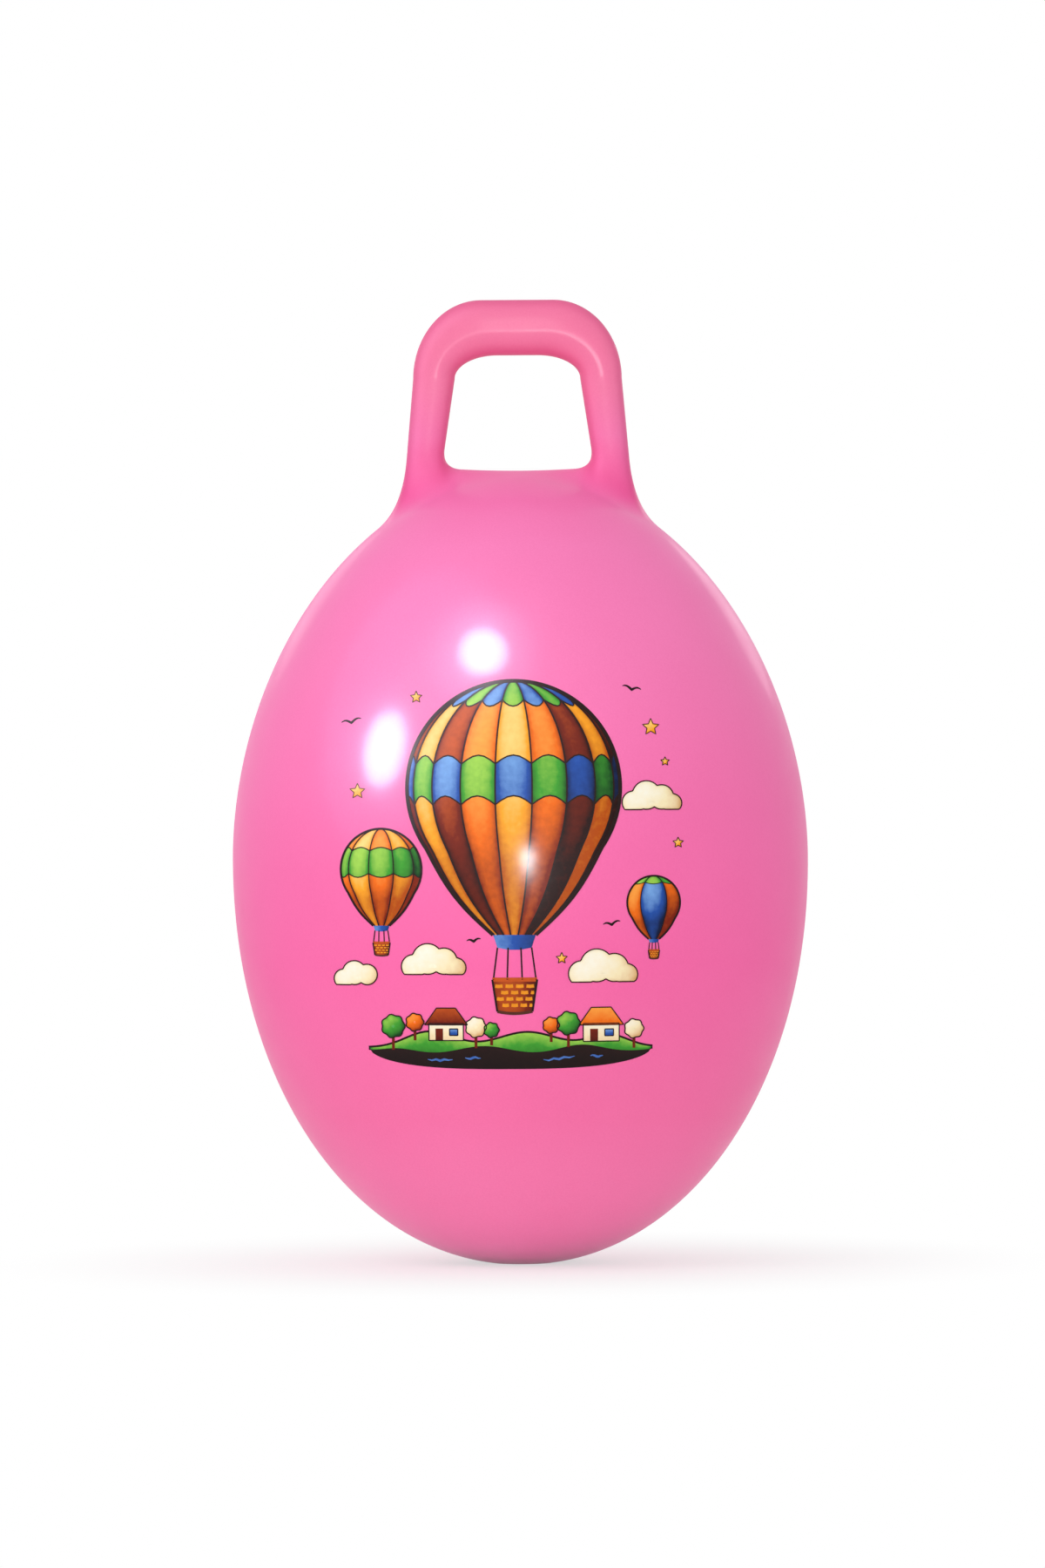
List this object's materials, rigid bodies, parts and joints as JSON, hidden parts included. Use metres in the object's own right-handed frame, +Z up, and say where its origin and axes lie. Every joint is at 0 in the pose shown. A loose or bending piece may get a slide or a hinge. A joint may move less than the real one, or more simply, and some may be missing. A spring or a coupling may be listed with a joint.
{
  "type": "hopper ball",
  "caption": "Inflated egg-shaped hopper ball with a hollow loop handle on its crown and a plugged air valve at the back.",
  "frame": {"origin": "centre of the flattened patch that the ball rests on, on the floor", "axes": "+Z up through the crown and the top bar of the handle, X along the top bar, front (the printed side) faces -Y, the valve is at the back, +Y"},
  "size_m": [0.38, 0.38, 0.636],
  "materials": {
    "ball_skin": "glossy stretched soft PVC, pink",
    "handle_skin": "glossy unstretched soft PVC, a deeper pink",
    "valve_seat": "soft PVC, deeper pink",
    "valve_plug": "hard white polyethylene"
  },
  "bodies": {
    "ball": {"ball_shell": "ball_skin", "handle": "handle_skin", "valve_seat": "valve_seat"},
    "plug": {"valve_plug": "valve_plug"}
  },
  "joints": [
    {"name": "plug_slide", "type": "slide", "parent": "ball", "child": "plug", "axis": [0, 0.9252, 0.3795], "range_m": [0, 0.02]}
  ]
}
